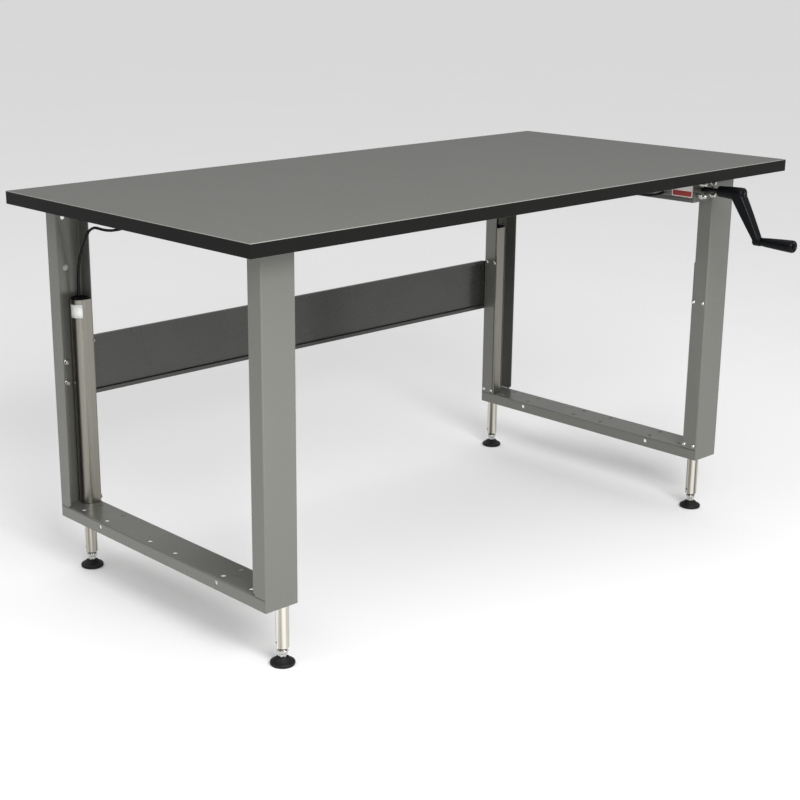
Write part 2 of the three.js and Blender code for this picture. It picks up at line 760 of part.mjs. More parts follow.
const gripRoot = armEndFace - runningGap;
const gripTip = gripRoot - gripLength;
const gripBore = gripPinRadius + runningGap;
add(
  "crank_grip",
  turned([
    [gripBore, gripTip],
    [gripOuterRadius - 1.5, gripTip],
    [gripOuterRadius, gripTip + 2],
    [gripOuterRadius - 0.4, gripTip + 14],
    [gripInnerRadius, gripRoot - 2],
    [gripInnerRadius - 1, gripRoot],
    [gripBore, gripRoot],
    [gripBore, gripTip],
  ]).translate(pumpX, 0, gripZ),
  blackPlastic(),
);
const pinStart = armEndFace + armEndThickness - 2;
const pinSeat = gripTip - gap;
const gripPin = turned([
  [0, pinSeat - headHeight],
  [screwHeadRadius, pinSeat - headHeight],
  [screwHeadRadius, pinSeat],
  [gripPinRadius, pinSeat],
  [gripPinRadius, pinStart],
  [0, pinStart],
], 16).translate(pumpX, 0, gripZ);
add("grip_pin", gripPin, zincPlate());

// ---- hoses --------------------------------------------------------------------------------

// Each hose leaves its port on the pump, ducks under the top rail and drops onto its cylinder's
// cap. The two for the left legs run along the worktop's underside.
const hoseRunZ = worktopUnderside - 8;
const ductZ = worktopUnderside - 36;

function drop(sideSign, endSign, swing) {
  const [x, y] = [cylinderX(sideSign), cylinderY(endSign)];
  return [
    [x + swing[0] * 0.3, y - endSign * 12, hoseStartZ + 96],
    [x, y - endSign * 3, hoseStartZ + 68],
    [x, y, hoseStartZ + 40],
    [x, y, hoseStartZ],
  ];
}

const hoseRoutes = {
  front_right: [
    [pumpSideX - 2, ports[0], portZ],
    [pumpSideX + 10, ports[0], portZ],
    [pumpSideX + 22, ports[0] - 3, portZ + 1],
    [pumpSideX + 32, ports[0] - 16, portZ - 1],
    [pumpSideX + 36, ports[0] - 32, portZ - 14],
    ...drop(1, -1, [2, 0]),
  ],
  back_right: [
    [pumpSideX - 2, ports[1], portZ],
    [pumpSideX + 12, ports[1], portZ],
    [pumpSideX + 26, ports[1] + 4, portZ + 1],
    [pumpSideX + 36, ports[1] + 16, portZ + 1],
    [pumpSideX + 40, ports[1] + 34, portZ],
    [pumpSideX + 40, -100, portZ - 2],
    [pumpSideX + 40, 60, portZ - 4],
    [pumpSideX + 40, 220, portZ - 2],
    [pumpSideX + 38, 285, portZ - 8],
    [pumpSideX + 34, 314, portZ - 30],
    ...drop(1, 1, [2, 0]),
  ],
  front_left: [
    [2 * pumpX - pumpSideX + 2, ports[0], portZ],
    [2 * pumpX - pumpSideX - 10, ports[0], portZ],
    [2 * pumpX - pumpSideX - 34, ports[0] + 2, portZ - 5],
    [456, ports[0] + 22, portZ + 1],
    [426, -165, hoseRunZ - 8],
    [408, -90, hoseRunZ],
    [394, 0, hoseRunZ],
    [362, 50, hoseRunZ],
    [290, 70, hoseRunZ],
    [0, 70, hoseRunZ],
    [-300, 70, hoseRunZ],
    [-500, 66, hoseRunZ],
    [-560, 44, hoseRunZ - 8],
    [-588, -10, ductZ + 6],
    [-596, -90, ductZ],
    [-602, -180, ductZ - 1],
    [-612, -236, ductZ - 8],
    [-626, -266, ductZ - 34],
    ...drop(-1, -1, [2, 0]),
  ],
  back_left: [
    [2 * pumpX - pumpSideX + 2, ports[1], portZ],
    [2 * pumpX - pumpSideX - 10, ports[1], portZ],
    [2 * pumpX - pumpSideX - 28, ports[1] + 6, portZ - 4],
    [472, ports[1] + 34, portZ + 4],
    [448, -140, hoseRunZ - 8],
    [434, -60, hoseRunZ],
    [420, 26, hoseRunZ],
    [380, 72, hoseRunZ],
    [300, 86, hoseRunZ],
    [0, 86, hoseRunZ],
    [-300, 86, hoseRunZ],
    [-440, 98, hoseRunZ],
    [-500, 150, hoseRunZ],
    [-550, 180, hoseRunZ - 12],
    [-590, 198, ductZ - 2],
    [-614, 220, ductZ - 13],
    [-624, 246, ductZ - 16],
    [-626, 272, ductZ - 14],
    [-627, 292, ductZ - 13],
    [-628, 306, ductZ - 28],
    [-629, 323, ductZ - 62],
    ...drop(-1, 1, [2, 0]),
  ],
};

const hoseSection = polygon(8, hoseRadius);
const longestHoseSteps = 64;

for (const [corner, points] of Object.entries(hoseRoutes)) {
  const route = new THREE.CatmullRomCurve3(points.map((p) => new THREE.Vector3(...p)));
  const steps = Math.min(longestHoseSteps, Math.ceil(route.getLength() / (5 * hoseRadius)));
  const hose = new THREE.ExtrudeGeometry(hoseSection, { steps, extrudePath: route });
  add(`hose_${corner}`, hose, blackRubber());
}

// ---- the part's frame: the origin is on the floor, under the middle of the whole desk ---------

const frontmost = pinSeat - headHeight;
const backmost = worktopDepth / 2;
desk.position.y = -(frontmost + backmost) / 2;

export default desk;
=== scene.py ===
# A height adjustable standing desk with a hydraulic lift worked by a hand crank: a laminate worktop
# on two folded-steel side frames, a stretcher behind the back legs, a cylinder in every leg with a
# chromed rod and levelling foot below it, and the pump and its crank under the right-hand end.
# The file goes in the order that the desk is put together. Lengths are in metres.

import math

import bmesh
import bpy
from mathutils import Matrix, Vector


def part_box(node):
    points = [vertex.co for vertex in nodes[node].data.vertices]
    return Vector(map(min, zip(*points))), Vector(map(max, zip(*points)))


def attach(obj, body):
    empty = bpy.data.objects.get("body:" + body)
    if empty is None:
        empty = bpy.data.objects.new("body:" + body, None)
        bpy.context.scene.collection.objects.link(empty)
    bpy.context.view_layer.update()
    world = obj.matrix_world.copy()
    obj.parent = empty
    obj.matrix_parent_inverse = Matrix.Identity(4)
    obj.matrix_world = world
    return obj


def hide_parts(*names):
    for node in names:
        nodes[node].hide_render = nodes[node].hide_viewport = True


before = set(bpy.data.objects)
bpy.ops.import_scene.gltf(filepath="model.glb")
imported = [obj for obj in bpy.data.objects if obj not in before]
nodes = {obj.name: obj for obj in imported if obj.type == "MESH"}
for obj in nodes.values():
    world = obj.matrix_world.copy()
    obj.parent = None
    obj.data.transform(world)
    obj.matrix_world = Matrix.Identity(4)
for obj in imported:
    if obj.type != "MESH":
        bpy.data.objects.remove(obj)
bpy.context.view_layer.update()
scene = bpy.context.scene

MM = 0.001
worktop_low, worktop_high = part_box("worktop_edge_band")
middle_y = (worktop_low[1] + worktop_high[1]) / 2
corners = [(end, side) for end in ("front", "back") for side in ("left", "right")]


# ---- camera ---------------------------------------------------------------------------------
# A long lens, standing back from the left end and a little above the worktop.

camera_data = bpy.data.cameras.new("camera")
camera_data.sensor_width = 36
camera_data.lens = 69.26
camera_data.shift_x = 0.0781
camera_data.shift_y = 0.0096
camera = bpy.data.objects.new("camera", camera_data)
scene.collection.objects.link(camera)
scene.camera = camera
camera_yaw = math.radians(-41.734)
camera_tilt = math.radians(90 - 16.596)
camera_roll = math.radians(-0.101)
camera.matrix_world = (
    Matrix.Translation((-2.2724, middle_y - 2.2825, 1.2582))
    @ Matrix.Rotation(camera_yaw, 4, "Z")
    @ Matrix.Rotation(camera_tilt, 4, "X")
    @ Matrix.Rotation(camera_roll, 4, "Z")
)


# ---- studio ---------------------------------------------------------------------------------
# A pale seamless floor, a surround that is bright overhead and dim at the horizon, and soft boxes
# above and to the left.

scene.view_settings.view_transform = "Standard"


def start_material(name, color, roughness, metallic=0.0, coat=0.0, coat_roughness=0.1):
    material = bpy.data.materials.new(name)
    material.use_nodes = True
    shader = material.node_tree.nodes["Principled BSDF"]
    shader.inputs["Base Color"].default_value = (*color, 1)
    shader.inputs["Roughness"].default_value = roughness
    shader.inputs["Metallic"].default_value = metallic
    shader.inputs["Coat Weight"].default_value = coat
    shader.inputs["Coat Roughness"].default_value = coat_roughness
    return material, shader


def noise(material, scale, detail=3.0, stretch=(1, 1, 1)):
    """Cloudy noise in the desk's own metres, stretched along an axis where a value is under 1."""
    tree = material.node_tree
    place = tree.nodes.new("ShaderNodeTexCoord")
    mapping = tree.nodes.new("ShaderNodeMapping")
    mapping.inputs["Scale"].default_value = stretch
    texture = tree.nodes.new("ShaderNodeTexNoise")
    texture.inputs["Scale"].default_value = scale
    texture.inputs["Detail"].default_value = detail
    tree.links.new(place.outputs["Object"], mapping.inputs["Vector"])
    tree.links.new(mapping.outputs["Vector"], texture.inputs["Vector"])
    return texture.outputs["Fac"]


def tint(material, shader, fac, dark, light, low=0.35, high=0.65):
    """The base colour runs from dark to light with fac."""
    ramp = material.node_tree.nodes.new("ShaderNodeValToRGB")
    ramp.color_ramp.elements[0].position = low
    ramp.color_ramp.elements[1].position = high
    ramp.color_ramp.elements[0].color = (*dark, 1)
    ramp.color_ramp.elements[1].color = (*light, 1)
    material.node_tree.links.new(fac, ramp.inputs["Fac"])
    material.node_tree.links.new(ramp.outputs["Color"], shader.inputs["Base Color"])
    return ramp


def gloss(material, shader, fac, low, high):
    """The roughness runs from low to high with fac."""
    span = material.node_tree.nodes.new("ShaderNodeMapRange")
    span.inputs["From Min"].default_value = 0.3
    span.inputs["From Max"].default_value = 0.7
    span.inputs["To Min"].default_value = low
    span.inputs["To Max"].default_value = high
    material.node_tree.links.new(fac, span.inputs["Value"])
    material.node_tree.links.new(span.outputs["Result"], shader.inputs["Roughness"])


def relief(material, shader, fac, depth, strength=1.0):
    bump = material.node_tree.nodes.new("ShaderNodeBump")
    bump.inputs["Distance"].default_value = depth
    bump.inputs["Strength"].default_value = strength
    material.node_tree.links.new(fac, bump.inputs["Height"])
    material.node_tree.links.new(bump.outputs["Normal"], shader.inputs["Normal"])


def shades(color, spread):
    """A darker and a lighter version of a colour."""
    return [tuple(c * (1 - spread) for c in color), tuple(c * (1 + spread) for c in color)]


floor_size = 600
floor_mesh = bmesh.new()
bmesh.ops.create_grid(floor_mesh, x_segments=8, y_segments=8, size=floor_size / 2)
floor_data = bpy.data.meshes.new("floor")
floor_mesh.to_mesh(floor_data)
floor_mesh.free()
floor = bpy.data.objects.new("floor", floor_data)
scene.collection.objects.link(floor)
floor_paint, floor_shader = start_material("seamless_paper", (0.93, 0.93, 0.93), 0.9)
tint(floor_paint, floor_shader, noise(floor_paint, 2), *shades((0.93, 0.93, 0.93), 0.004))
floor_data.materials.append(floor_paint)

world = bpy.data.worlds.new("overhead_surround")
scene.world = world
world.use_nodes = True
sky_tree = world.node_tree
sky_place = sky_tree.nodes.new("ShaderNodeTexCoord")
sky_split = sky_tree.nodes.new("ShaderNodeSeparateXYZ")
sky_ramp = sky_tree.nodes.new("ShaderNodeValToRGB")
sky_ramp.color_ramp.elements[0].position = 0.02
sky_ramp.color_ramp.elements[0].color = (0.10, 0.10, 0.10, 1)
sky_ramp.color_ramp.elements[1].position = 0.62
sky_ramp.color_ramp.elements[1].color = (1, 1, 1, 1)
sky_tree.links.new(sky_place.outputs["Generated"], sky_split.inputs["Vector"])
sky_tree.links.new(sky_split.outputs["Z"], sky_ramp.inputs["Fac"])
sky_tree.links.new(sky_ramp.outputs["Color"], sky_tree.nodes["Background"].inputs["Color"])
sky_tree.nodes["Background"].inputs["Strength"].default_value = 0.85


def soft_box(name, at, target, size, power):
    data = bpy.data.lights.new(name, "AREA")
    data.shape = "RECTANGLE"
    data.size, data.size_y = size
    data.energy = power
    light = bpy.data.objects.new(name, data)
    scene.collection.objects.link(light)
    aim = Vector(target) - Vector(at)
    light.matrix_world = Matrix.Translation(at) @ aim.to_track_quat("-Z", "Y").to_matrix().to_4x4()


soft_box("key", (-1.3, -2.8, 2.3), (-0.4, 0, 0.5), (2.0, 1.3), 118)
soft_box("fill", (-3.2, 0.4, 2.6), (0, 0, 0.7), (1.6, 1.2), 7)


# ---- worktop --------------------------------------------------------------------------------
# Particle board between a charcoal laminate and a plain backer, pressed together and sawn to size,
# with a thick plastic band glued round the edge and its arris scraped round.


def finish_node(name, material):
    """Gives a piece that the frame already holds its finish."""
    node = nodes[name]
    node.data.materials.clear()
    node.data.materials.append(material)


def deburred(name, body, material, edge):
    """A piece in the frame's own shape, its faces joined up and its sharp edges rounded."""
    node = nodes[name]
    bm = bmesh.new()
    bm.from_mesh(node.data)
    bmesh.ops.transform(bm, matrix=node.matrix_world, verts=bm.verts)
    bmesh.ops.remove_doubles(bm, verts=bm.verts, dist=0.002 * MM)
    flat = math.radians(0.5)
    bmesh.ops.dissolve_limit(bm, angle_limit=flat, verts=bm.verts, edges=bm.edges)
    mesh = bpy.data.meshes.new(f"{name}_piece")
    bm.to_mesh(mesh)
    bm.free()
    if "custom_normal" in mesh.attributes:
        mesh.attributes.remove(mesh.attributes["custom_normal"])
    mesh.materials.append(material)
    obj = bpy.data.objects.new(f"{name}_piece", mesh)
    scene.collection.objects.link(obj)
    for polygon in mesh.polygons:
        polygon.use_smooth = False
    bevel = obj.modifiers.new("soft_edges", "BEVEL")
    bevel.width = edge
    bevel.segments = 2
    bevel.limit_method = "ANGLE"
    bevel.angle_limit = math.radians(40)
    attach(obj, body)
    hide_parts(name)
    return obj


def laminate_finish():
    color = (0.122, 0.123, 0.113)
    material, shader = start_material("charcoal_laminate", color, 0.5)
    speckle = noise(material, 900, 2)
    tint(material, shader, speckle, *shades(color, 0.16))
    gloss(material, shader, noise(material, 5, 4), 0.39, 0.46)
    relief(material, shader, noise(material, 1500, 1), 0.00004)
    shader.inputs["Specular IOR Level"].default_value = 0.4
    return material


def board_finish():
    color = (0.42, 0.30, 0.17)
    material, shader = start_material("particle_board", color, 0.9)
    tint(material, shader, noise(material, 260, 6), *shades(color, 0.4))
    relief(material, shader, noise(material, 400, 4), 0.0004)
    return material


def backer_finish():
    color = (0.030, 0.030, 0.028)
    material, shader = start_material("backing_laminate", color, 0.6)
    tint(material, shader, noise(material, 30, 5), *shades(color, 0.2))
    relief(material, shader, noise(material, 900, 2), 0.00006)
    return material


def edge_band_finish(painted_highlight_height):
    """Near black, with a painted highlight: the colour turns paler over the top of the band, where the
    rounded arris meets the laminate.
    """
    color = (0.0070, 0.0072, 0.0066)
    material, shader = start_material("edge_band", color, 0.42)
    shader.inputs["Specular IOR Level"].default_value = 0.1
    tree = material.node_tree
    place = tree.nodes.new("ShaderNodeTexCoord")
    split = tree.nodes.new("ShaderNodeSeparateXYZ")
    painted_highlight_rise = tree.nodes.new("ShaderNodeMapRange")
    painted_highlight_rise.inputs["From Min"].default_value = worktop_high[2] - painted_highlight_height
    painted_highlight_rise.inputs["From Max"].default_value = worktop_high[2] - painted_highlight_height / 4
    tree.links.new(place.outputs["Object"], split.inputs["Vector"])
    tree.links.new(split.outputs["Z"], painted_highlight_rise.inputs["Value"])
    # Painted highlight: the colour climbs from near black to pale grey over the top of the band,
    # standing in for light caught on the rounded arris.
    tint(material, shader, painted_highlight_rise.outputs["Result"], color, (0.30, 0.30, 0.28), 0.2, 0.8)
    gloss(material, shader, noise(material, 9, 4), 0.34, 0.44)
    relief(material, shader, noise(material, 700, 2), 0.00005)
    return material


finish_node("worktop_core", board_finish())
finish_node("worktop_backer", backer_finish())
finish_node("worktop_laminate", laminate_finish())
deburred("worktop_edge_band", "frame", edge_band_finish(1.6 * MM), 0.7 * MM)


# ---- side frames ------------------------------------------------------------------------------
# Legs, base channels and top rails are steel sheet, punched, folded to a channel, welded at the
# corners and powder coated a metallic grey with a fine orange peel.


def powder_coat(name, color, roughness=0.3):
    material, shader = start_material(name, color, roughness, metallic=0.35, coat=0.35)
    shader.inputs["Coat Roughness"].default_value = 0.16
    tint(material, shader, noise(material, 2400, 2), *shades(color, 0.14))
    gloss(material, shader, noise(material, 14, 5), roughness - 0.03, roughness + 0.05)
    relief(material, shader, noise(material, 620, 2), 0.00005)
    return material


frame_grey = powder_coat("grey_powder_coat", (0.158, 0.158, 0.142))
for end, side in corners:
    finish_node(f"leg_{end}_{side}", frame_grey)
for side in ("left", "right"):
    finish_node(f"base_channel_{side}", frame_grey)
    finish_node(f"top_rail_{side}", frame_grey)


# ---- stretcher ----------------------------------------------------------------------------------
# A shallow folded panel across the backs of the back legs, coated like the legs, with its lips
# turned in. Two bolts hold each end, their nuts inside the legs.


def turned(profile, steps=48):
    """A turned piece round Z from (radius, height) rings, up its outside. A ring with a third number
    has that many flat sides, and its radius is then to the flats."""
    bm = bmesh.new()
    rings = []
    closed = profile[0] == profile[-1] and profile[0][0] > 0
    for ring in profile[:-1] if closed else profile:
        radius, height = ring[:2]
        sector = 2 * math.pi / ring[2] if len(ring) > 2 else 0
        verts = []
        for i in range(steps if radius else 1):
            angle = 2 * math.pi * i / steps
            reach = radius
            if sector:
                reach = radius / math.cos((angle + sector / 2) % sector - sector / 2)
            verts.append(bm.verts.new((reach * math.cos(angle), reach * math.sin(angle), height)))
        rings.append(verts)
    if closed:
        rings.append(rings[0])
    for low, high in zip(rings, rings[1:]):
        for i in range(steps):
            j = (i + 1) % steps
            around = [low[i % len(low)], low[j % len(low)], high[j % len(high)], high[i % len(high)]]
            face = list(dict.fromkeys(around))
            if len(face) > 2:
                bm.faces.new(face)
    bmesh.ops.recalc_face_normals(bm, faces=bm.faces)
    return bm


def placed(bm, at, along=(0, 0, 1)):
    """Stands a piece that was made round Z on a point, with its Z along a direction."""
    turn = Vector((0, 0, 1)).rotation_difference(Vector(along)).to_matrix().to_4x4()
    bmesh.ops.transform(bm, matrix=Matrix.Translation(at) @ turn, verts=bm.verts)
    return bm


def together(parts):
    """Several loose bodies as one mesh."""
    whole = bmesh.new()
    for part in parts:
        scratch = bpy.data.meshes.new("scratch")
        part.to_mesh(scratch)
        part.free()
        whole.from_mesh(scratch)
        bpy.data.meshes.remove(scratch)
    return whole


def piece(name, bm, body, material, stands_for=(), sharp=32):
    """Makes a piece of the desk from its mesh, and says what it is part of."""
    mesh = bpy.data.meshes.new(name)
    bm.to_mesh(mesh)
    bm.free()
    mesh.materials.append(material)
    obj = bpy.data.objects.new(name, mesh)
    scene.collection.objects.link(obj)
    for polygon in mesh.polygons:
        polygon.use_smooth = True
    mesh.set_sharp_from_angle(angle=math.radians(sharp))
    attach(obj, body)
    if stands_for:
        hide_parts(*stands_for)
    return obj


def button_head(radius, height, socket):
    """A domed screw head with a hexagon socket, its seat at zero."""
    return turned(
        [
            (0, 0),
            (radius * 0.96, 0),
            (radius, height * 0.12),
            (radius * 0.96, height * 0.35),
            (radius * 0.82, height * 0.68),
            (radius * 0.6, height * 0.92),
            (socket * 1.25, height),
            (socket, height * 0.97, 6),
            (socket, height * 0.4, 6),
            (0, height * 0.34),
        ]
    )


def flange_nut(flats, height, thread):
    """A hexagon nut on a flange, with the end of its bolt showing."""
    half = flats / 2
    return turned(
        [
            (0, 0),
            (half * 1.28, 0),
            (half * 1.3, height * 0.12),
            (half * 1.12, height * 0.26),
            (half, height * 0.3, 6),
            (half, height * 0.86, 6),
            (half * 0.98, height),
            (thread * 1.08, height),
            (thread, height * 0.94),
            (thread, height * 1.22),
            (thread * 0.82, height * 1.34),
            (0, height * 1.34),
        ]
    )


def zinc_finish():
    color = (0.60, 0.60, 0.57)
    material, shader = start_material("zinc_plate", color, 0.26, metallic=1)
    tint(material, shader, noise(material, 160, 4), *shades(color, 0.12))
    gloss(material, shader, noise(material, 300, 3), 0.2, 0.36)
    relief(material, shader, noise(material, 1800, 2), 0.00003)
    return material


zinc = zinc_finish()
stretcher_grey = powder_coat("dark_powder_coat", (0.046, 0.046, 0.041), roughness=0.26)
finish_node("stretcher", stretcher_grey)

stretcher_low, stretcher_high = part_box("stretcher")
leg_sheet = 1.9 * MM
stretcher_bolt_in = 47 * MM  # inner side of a leg to its two bolts
stretcher_bolt_steps = (-27 * MM, 17 * MM)  # from the stretcher's middle
stretcher_middle = (stretcher_low[2] + stretcher_high[2]) / 2
stretcher_nuts = []
stretcher_heads = []
for side, sign in (("left", -1), ("right", 1)):
    leg_low, leg_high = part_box(f"leg_back_{side}")
    inner_x = leg_high[0] if sign < 0 else leg_low[0]
    for step in stretcher_bolt_steps:
        x, z = inner_x + sign * stretcher_bolt_in, stretcher_middle + step
        inside = (x, leg_high[1] - leg_sheet, z)
        stretcher_nuts.append(placed(flange_nut(9 * MM, 5 * MM, 2.9 * MM), inside, (0, -1, 0)))
        behind = (x, stretcher_low[1] + leg_sheet, z)
        stretcher_heads.append(placed(button_head(5.6 * MM, 3.2 * MM, 1.9 * MM), behind, (0, 1, 0)))
piece("stretcher_nuts", together(stretcher_nuts), "frame", zinc)
piece("stretcher_bolts", together(stretcher_heads), "frame", zinc)


# ---- frame hardware -----------------------------------------------------------------------------
# Plastic plugs close the spare holes of the legs, and carriage bolts hold the worktop's rails.


def plug_finish():
    color = (0.46, 0.46, 0.43)
    material, shader = start_material("grey_plug_plastic", color, 0.5)
    tint(material, shader, noise(material, 300, 3), *shades(color, 0.08))
    relief(material, shader, noise(material, 1600, 2), 0.00005)
    return material


plug_drop = 138 * MM  # worktop's underside to the plug
rail_nut_inset = 16 * MM  # end of a rail to its nut
rail_nut_drop = 14 * MM
hole_plugs = []
rail_bolts = []
for end, side in corners:
    leg_low, leg_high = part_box(f"leg_{end}_{side}")
    x = (leg_low[0] + leg_high[0]) / 2
    inward = -1 if end == "back" else 1
    web = leg_high[1] - leg_sheet if end == "back" else leg_low[1] + leg_sheet
    plug = turned([(0, 0), (6.2 * MM, 0), (6.4 * MM, 0.5 * MM), (5.6 * MM, 1.4 * MM), (0, 1.7 * MM)])
    hole_plugs.append(placed(plug, (x, web, leg_high[2] - plug_drop), (0, inward, 0)))
for side, sign in (("left", -1), ("right", 1)):
    rail_low, rail_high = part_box(f"top_rail_{side}")
    face = rail_low[0] + leg_sheet if sign < 0 else rail_high[0] - leg_sheet
    for y in (rail_low[1] + rail_nut_inset, rail_high[1] - rail_nut_inset):
        centre = (face, y, rail_high[2] - rail_nut_drop)
        rail_bolts.append(placed(flange_nut(9 * MM, 5 * MM, 2.9 * MM), centre, (-sign, 0, 0)))
piece("hole_plugs", together(hole_plugs), "frame", plug_finish())
piece("rail_nuts", together(rail_bolts), "frame", zinc)


# ---- cylinders ----------------------------------------------------------------------------------
# An extruded aluminium barrel, half round and half square, bolted inside each leg by two pairs of
# screws. A bronze bush guides the rod below and a moulded cap takes the hose above.


def barrel_section(barrel_radius, corner, bore, length, steps=96):
    """The barrel, its round half towards +X, standing on zero."""
    bm = bmesh.new()
    chamfer = 0.4 * MM
    loops = []
    for inset, height in ((chamfer, 0), (0, chamfer), (0, length - chamfer), (chamfer, length)):
        outside = []
        for i in range(steps):
            angle = 2 * math.pi * i / steps
            c, s = math.cos(angle), math.sin(angle)
            reach = barrel_radius
            if c < 0:
                square = barrel_radius / max(abs(c), abs(s))
                cut_corner = (2 * barrel_radius - corner) / (abs(c) + abs(s))
                reach = min(square, cut_corner)
            outside.append(bm.verts.new(((reach - inset) * c, (reach - inset) * s, height)))
        loops.append(outside)
    for height in (length, 0):
        loops.append(
            [
                bm.verts.new((bore * math.cos(a), bore * math.sin(a), height))
                for a in (2 * math.pi * i / steps for i in range(steps))
            ]
        )
    loops.append(loops[0])
    for low, high in zip(loops, loops[1:]):
        for i in range(steps):
            j = (i + 1) % steps
            bm.faces.new((low[i], low[j], high[j], high[i]))
    bmesh.ops.recalc_face_normals(bm, faces=bm.faces)
    return bm


def extrusion_finish():
    """Satin anodised, with the die's fine lines running along it."""
    color = (0.25, 0.24, 0.21)
    material, shader = start_material("anodised_extrusion", color, 0.28, metallic=1)
    lines = noise(material, 1400, 2, stretch=(1, 1, 0.004))
    tint(material, shader, lines, *shades(color, 0.1))
    gloss(material, shader, noise(material, 30, 4, stretch=(1, 1, 0.1)), 0.27, 0.36)
    relief(material, shader, lines, 0.00003)
    shader.inputs["Anisotropic"].default_value = 0.4
    return material


def black_plastic_finish(name="black_plastic", roughness=0.34):
    color = (0.0030, 0.0034, 0.0042)
    material, shader = start_material(name, color, roughness)
    shader.inputs["Specular IOR Level"].default_value = 0.12
    tint(material, shader, noise(material, 500, 3), *shades(color, 0.25))
    gloss(material, shader, noise(material, 45, 4), roughness - 0.05, roughness + 0.08)
    relief(material, shader, noise(material, 1500, 2), 0.00007)
    return material


def bronze_finish():
    color = (0.42, 0.25, 0.11)
    material, shader = start_material("sintered_bronze", color, 0.4, metallic=1)
    tint(material, shader, noise(material, 900, 4), *shades(color, 0.25))
    relief(material, shader, noise(material, 1500, 3), 0.00006)
    return material


def label_finish():
    color = (0.92, 0.92, 0.91)
    material, shader = start_material("label_paper", color, 0.45)
    tint(material, shader, noise(material, 120, 4), *shades(color, 0.04))
    relief(material, shader, noise(material, 900, 2), 0.00003)
    return material


extrusion = extrusion_finish()
black_plastic = black_plastic_finish()
bronze = bronze_finish()
barrel_bolts = []
barrel_bolt_heights = (9 * MM, 346 * MM)  # above the foot of the barrel
barrel_bolt_spread = 12.5 * MM
rod_radius = 12.5 * MM
for end, side in corners:
    corner = f"{end}_{side}"
    sign = -1 if side == "left" else 1
    low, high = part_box(f"barrel_{corner}")
    x, y = (low[0] + high[0]) / 2, (low[1] + high[1]) / 2
    radius = (high[0] - low[0]) / 2
    length = high[2] - low[2]

    barrel = barrel_section(radius, 1.5 * MM, 15.5 * MM, length)
    if sign < 0:
        bmesh.ops.rotate(barrel, matrix=Matrix.Rotation(math.pi, 3, "Z"), verts=barrel.verts)
    placed(barrel, (x, y, low[2]))
    piece(f"barrel_piece_{corner}", barrel, "frame", extrusion, [f"barrel_{corner}"])

    guide_low, guide_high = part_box(f"rod_guide_{corner}")
    outer = (guide_high[0] - guide_low[0]) / 2
    inner = rod_radius + 0.3 * MM
    height = guide_high[2] - guide_low[2]
    lead = 0.8 * MM
    guide = turned(
        [
            (inner + lead, 0),
            (outer - lead, 0),
            (outer, lead),
            (outer, height),
            (inner, height),
            (inner, lead),
            (inner + lead, 0),
        ]
    )
    placed(guide, (x, y, guide_low[2]))
    piece(f"rod_guide_piece_{corner}", guide, "frame", bronze, [f"rod_guide_{corner}"])

    # The cap's stem is the feed tube, which reaches down inside the hollow rod.
    cap_low, cap_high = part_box(f"cylinder_cap_{corner}")
    flange = (cap_high[0] - cap_low[0]) / 2
    seat = high[2] + 0.3 * MM
    tube, tube_bore, hole = 5.7 * MM, 2 * MM, 3.3 * MM
    plug_radius, plug_depth = 15.2 * MM, 20 * MM
    cap = turned(
        [
            (tube_bore, cap_low[2]),
            (tube, cap_low[2]),
            (tube, high[2] - plug_depth),
            (plug_radius, high[2] - plug_depth),
            (plug_radius, seat),
            (flange, seat),
            (flange, cap_high[2] - 0.8 * MM),
            (flange - 0.8 * MM, cap_high[2]),
            (flange - 3 * MM, cap_high[2]),
            (flange - 4.2 * MM, cap_high[2] - 1.4 * MM),
            (hole + 2.6 * MM, cap_high[2] - 1.4 * MM),
            (hole + 1.6 * MM, cap_high[2]),
            (hole, cap_high[2]),
            (hole, cap_high[2] - 6 * MM),
            (tube_bore, cap_high[2] - 6 * MM),
            (tube_bore, cap_low[2]),
        ]
    )
    placed(cap, (x, y, 0))
    piece(
        f"cylinder_cap_piece_{corner}",
        cap,
        "frame",
        black_plastic,
        [f"cylinder_cap_{corner}"],
    )

    leg_low, leg_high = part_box(f"leg_{corner}")
    flange_x = leg_high[0] if sign < 0 else leg_low[0]
    for height in barrel_bolt_heights:
        for step in (-barrel_bolt_spread, barrel_bolt_spread):
            head = button_head(4.6 * MM, 2.8 * MM, 1.6 * MM)
            at = (flange_x, y + step, low[2] + height)
            barrel_bolts.append(placed(head, at, (-sign, 0, 0)))
piece("barrel_bolts", together(barrel_bolts), "frame", zinc)

# A plain paper label, wrapped round the back left barrel.
label_low, label_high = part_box("barrel_back_left")
label_x = (label_low[0] + label_high[0]) / 2
label_y = (label_low[1] + label_high[1]) / 2
label_radius = (label_high[0] - label_low[0]) / 2 + 0.12 * MM
label_top, label_height = label_high[2] - 10 * MM, 27 * MM
label_from, label_to, label_steps = math.radians(172), math.radians(256), 24
label = bmesh.new()
label_rings = []
for z in (label_top - label_height, label_top):
    ring = []
    for i in range(label_steps + 1):
        angle = label_from + (label_to - label_from) * i / label_steps
        along = Vector((math.cos(angle), math.sin(angle), 0)) * label_radius
        ring.append(label.verts.new(Vector((label_x, label_y, z)) + along))
    label_rings.append(ring)
for i in range(label_steps):
    low_ring, high_ring = label_rings
    label.faces.new((low_ring[i], low_ring[i + 1], high_ring[i + 1], high_ring[i]))
label_piece = piece("barrel_label", label, "frame", label_finish())
label_thickness = label_piece.modifiers.new("paper", "SOLIDIFY")
label_thickness.thickness = 0.1 * MM
label_thickness.offset = 0


# ---- lift rods ----------------------------------------------------------------------------------
# Each rod is a hard-chromed steel tube with a piston turned on its top and a chamfered lower end,
# tapped for the foot. A tommy-bar hole is drilled across it just above the end.


